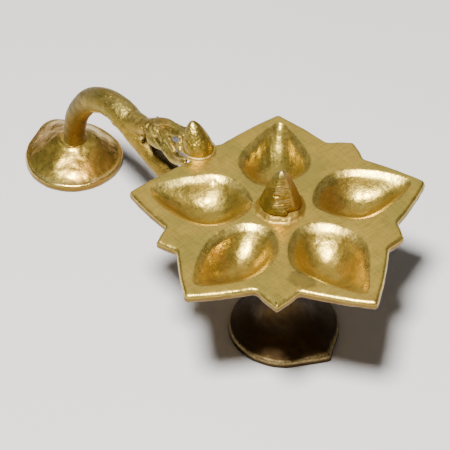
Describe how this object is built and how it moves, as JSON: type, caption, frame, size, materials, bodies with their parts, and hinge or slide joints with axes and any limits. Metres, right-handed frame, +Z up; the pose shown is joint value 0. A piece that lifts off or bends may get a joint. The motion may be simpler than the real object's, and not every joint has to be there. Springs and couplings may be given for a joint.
{
  "type": "brass hand lamp",
  "caption": "Brass hand lamp: star plate with drop-shaped oil wells on a bell foot, and an arched rear handle on a second bell foot.",
  "frame": {"origin": "on the floor, inside the main foot's rim, straight under the centre of the star plate", "axes": "+Z up; the handle points along -X and the plate's far side is +X; +Y is to the left when looking along +X"},
  "size_m": [0.242, 0.1231, 0.0895],
  "materials": {
    "plate_brass": "satin brass with fine file marks, bright worn lips and olive patina in the wells",
    "bright_brass": "worn bright",
    "finial_brass": "hand filed, with copper-toned patches",
    "handle_brass": "olive patina, slightly pitted casting",
    "foot_brass": "hammered, mixed gold, brown and olive patina",
    "dark_brass": "dark brown patina with a rubbed rim",
    "rivet_brass": "peened",
    "solder": "dull gray soft solder"
  },
  "bodies": {
    "root": {"star_plate": "plate_brass", "center_collar": "bright_brass", "center_finial": "finial_brass", "rear_collar": "bright_brass", "rear_finial": "finial_brass", "rear_finial_burr": "rivet_brass", "pedestal": "dark_brass", "handle_arm": "handle_brass", "arm_burr": "rivet_brass", "serpent_hood": "handle_brass", "hood_rivet": "rivet_brass", "hood_solder": "solder", "rear_foot": "foot_brass", "rear_foot_burr": "rivet_brass"}
  },
  "joints": []
}
